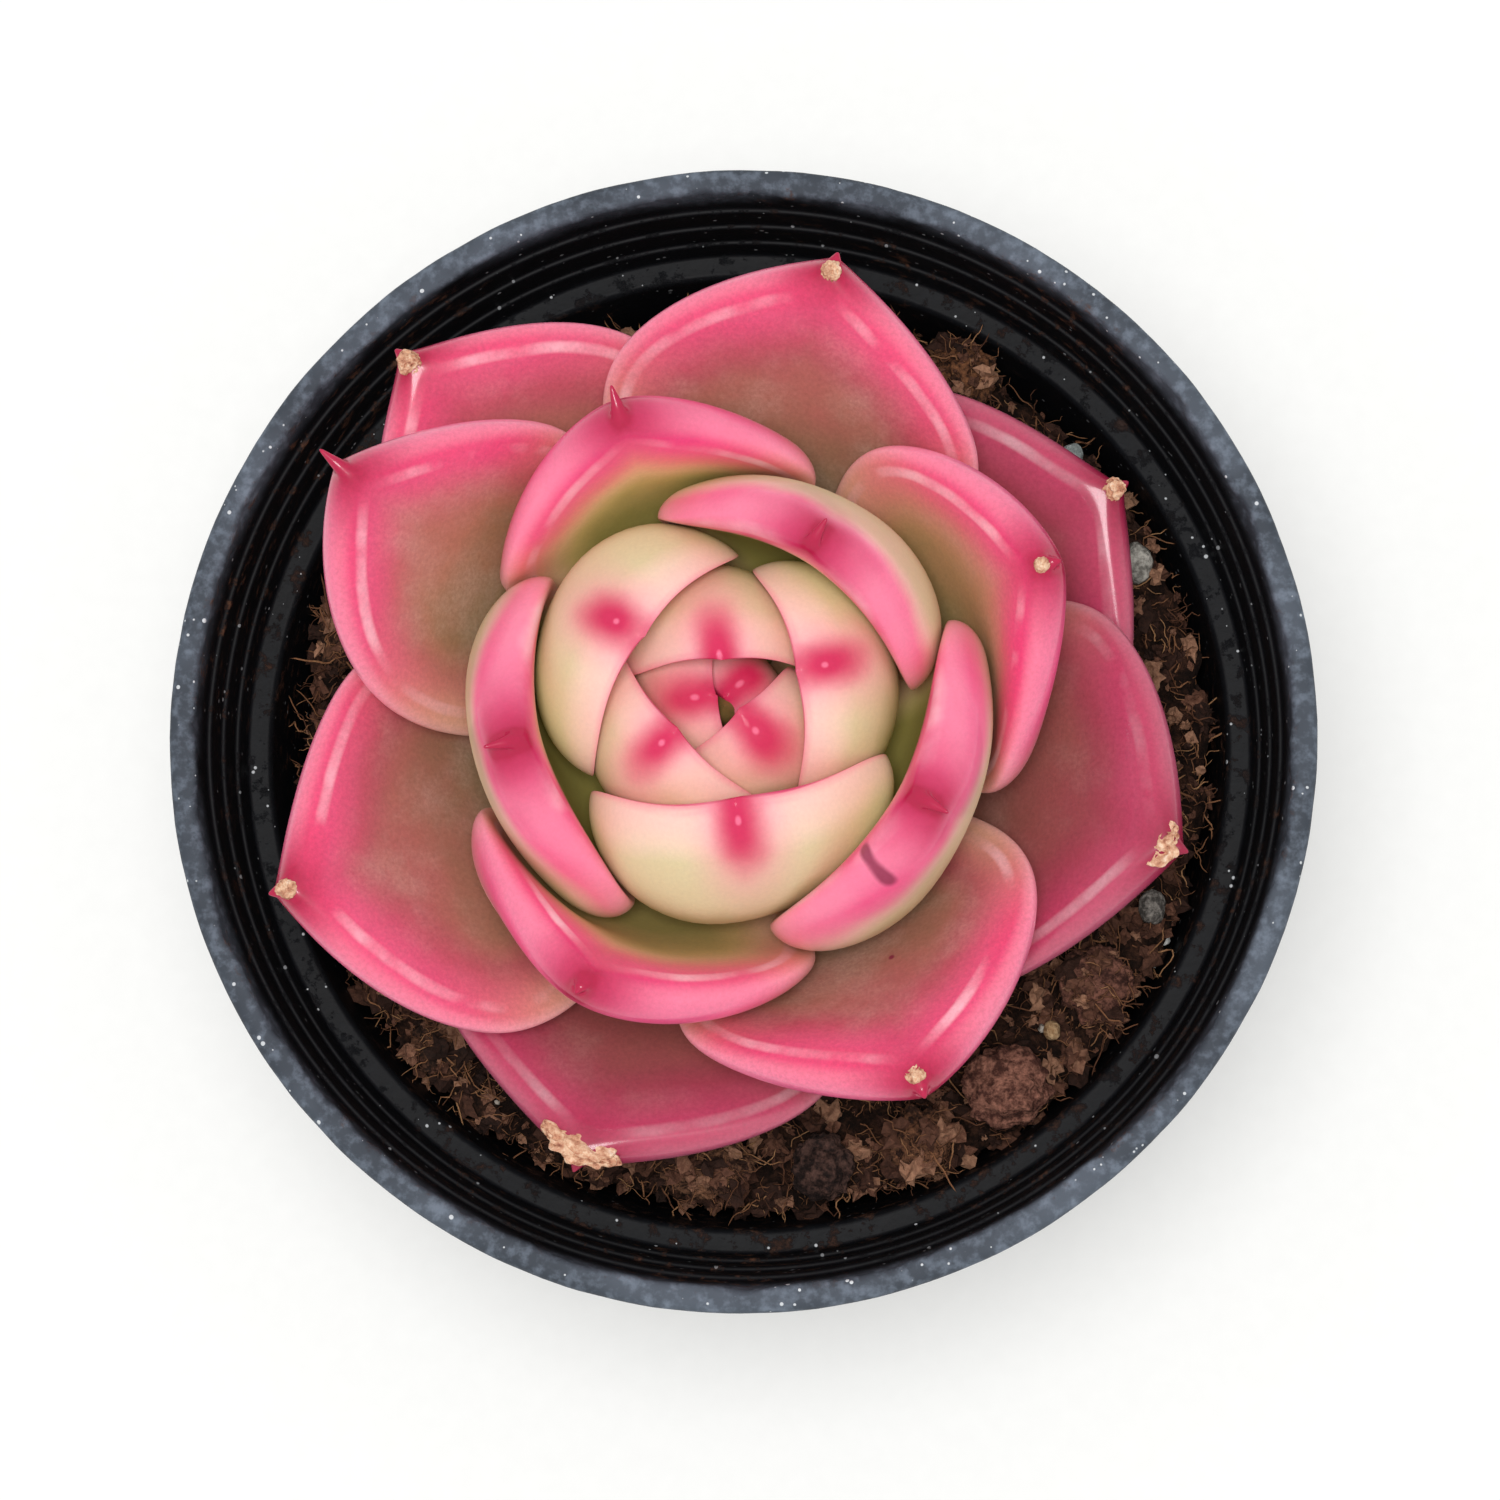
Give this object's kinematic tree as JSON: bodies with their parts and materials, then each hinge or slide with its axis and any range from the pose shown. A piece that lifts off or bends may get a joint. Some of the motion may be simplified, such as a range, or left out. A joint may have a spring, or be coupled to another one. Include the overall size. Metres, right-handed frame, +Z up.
{
  "type": "potted succulent",
  "caption": "Rosette succulent with fat pointed pink-edged leaves in a round black nursery pot, with brown potting mix around it.",
  "frame": {"origin": "centre of the pot's foot, on the surface it stands on", "axes": "+Z up through the pot; the youngest leaves are at the middle of the rosette, close to +Z"},
  "size_m": [0.09, 0.09, 0.0976],
  "materials": {
    "pot_plastic": "satin black moulded plastic, dusty on the rim",
    "potting_mix": "crumbly dark peat mix",
    "stem_bark": "dull brown corky skin",
    "bud_leaf": "waxy cream green, pink at the tip",
    "middle_leaf": "waxy green heart with bright pink edges",
    "outer_leaf": "waxy rose over olive green, crimson edges",
    "clay": "dull reddish baked clay",
    "bark": "dark rough bark",
    "peat": "fibrous brown peat",
    "grit_white": "matt white mineral grain",
    "grit_grey": "matt grey stone",
    "grit_tan": "matt tan grain"
  },
  "bodies": {
    "root": {"pot": "pot_plastic", "soil": "potting_mix", "stem": "stem_bark", "leaf_01": "bud_leaf", "leaf_02": "bud_leaf", "leaf_03": "bud_leaf", "leaf_04": "bud_leaf", "leaf_05": "bud_leaf", "leaf_06": "bud_leaf", "leaf_07": "bud_leaf", "leaf_08": "bud_leaf", "leaf_09": "middle_leaf", "leaf_10": "middle_leaf", "leaf_11": "middle_leaf", "leaf_12": "middle_leaf", "leaf_13": "middle_leaf", "leaf_14": "middle_leaf", "leaf_15": "outer_leaf", "leaf_16": "outer_leaf", "leaf_17": "outer_leaf", "leaf_18": "outer_leaf", "leaf_19": "outer_leaf", "leaf_20": "outer_leaf", "leaf_21": "outer_leaf", "leaf_22": "outer_leaf", "clay_pebble": "clay", "bark_chunk": "bark", "peat_lump_1": "peat", "peat_lump_2": "peat", "peat_lump_3": "peat", "peat_lump_4": "peat", "peat_lump_5": "peat", "peat_lump_6": "peat", "grit_white_1": "grit_white", "grit_white_2": "grit_white", "grit_white_3": "grit_white", "grit_grey": "grit_grey", "grit_tan_1": "grit_tan", "grit_tan_2": "grit_tan"}
  },
  "joints": []
}
